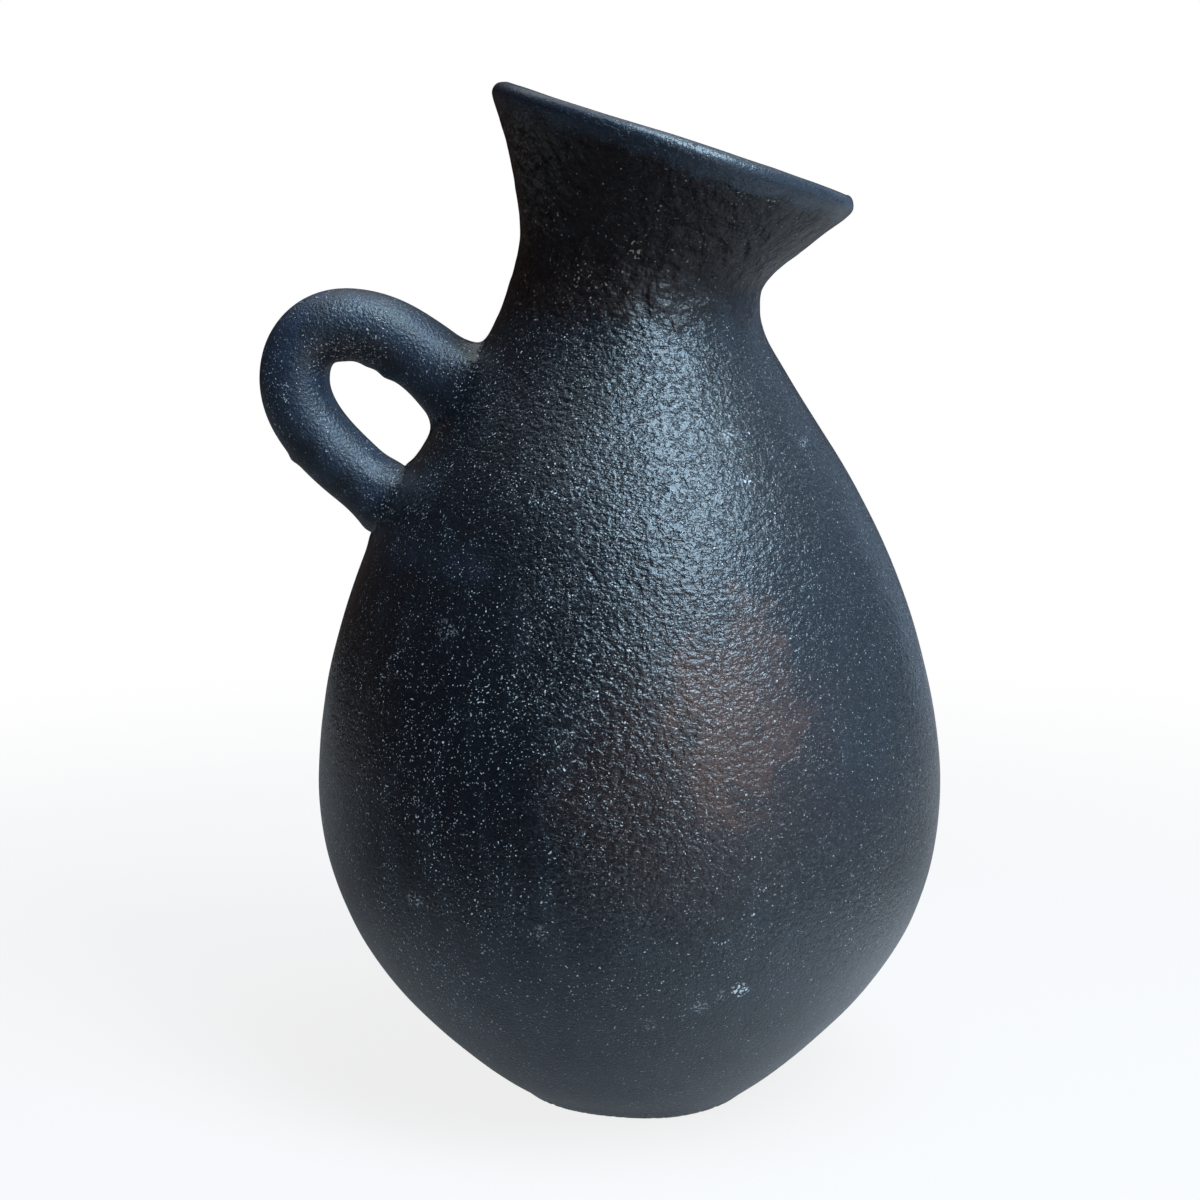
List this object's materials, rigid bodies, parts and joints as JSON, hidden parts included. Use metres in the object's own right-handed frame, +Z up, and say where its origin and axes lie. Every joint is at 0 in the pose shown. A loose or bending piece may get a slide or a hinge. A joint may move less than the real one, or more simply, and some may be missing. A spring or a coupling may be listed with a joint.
{
  "type": "terracotta jug",
  "caption": "Hand-thrown dark terracotta jug: egg-shaped belly on a small flat foot, leaning funnel neck and a thick slanted side handle.",
  "frame": {"origin": "centre of the flat foot, on the surface that it stands on", "axes": "+Z up along the belly's axis, +X towards the pouring side that the neck leans to, -X towards the handle"},
  "size_m": [0.2557, 0.2354, 0.3805],
  "materials": {
    "fired_clay": "satin"
  },
  "bodies": {
    "root": {"jug": "fired_clay"}
  },
  "joints": []
}
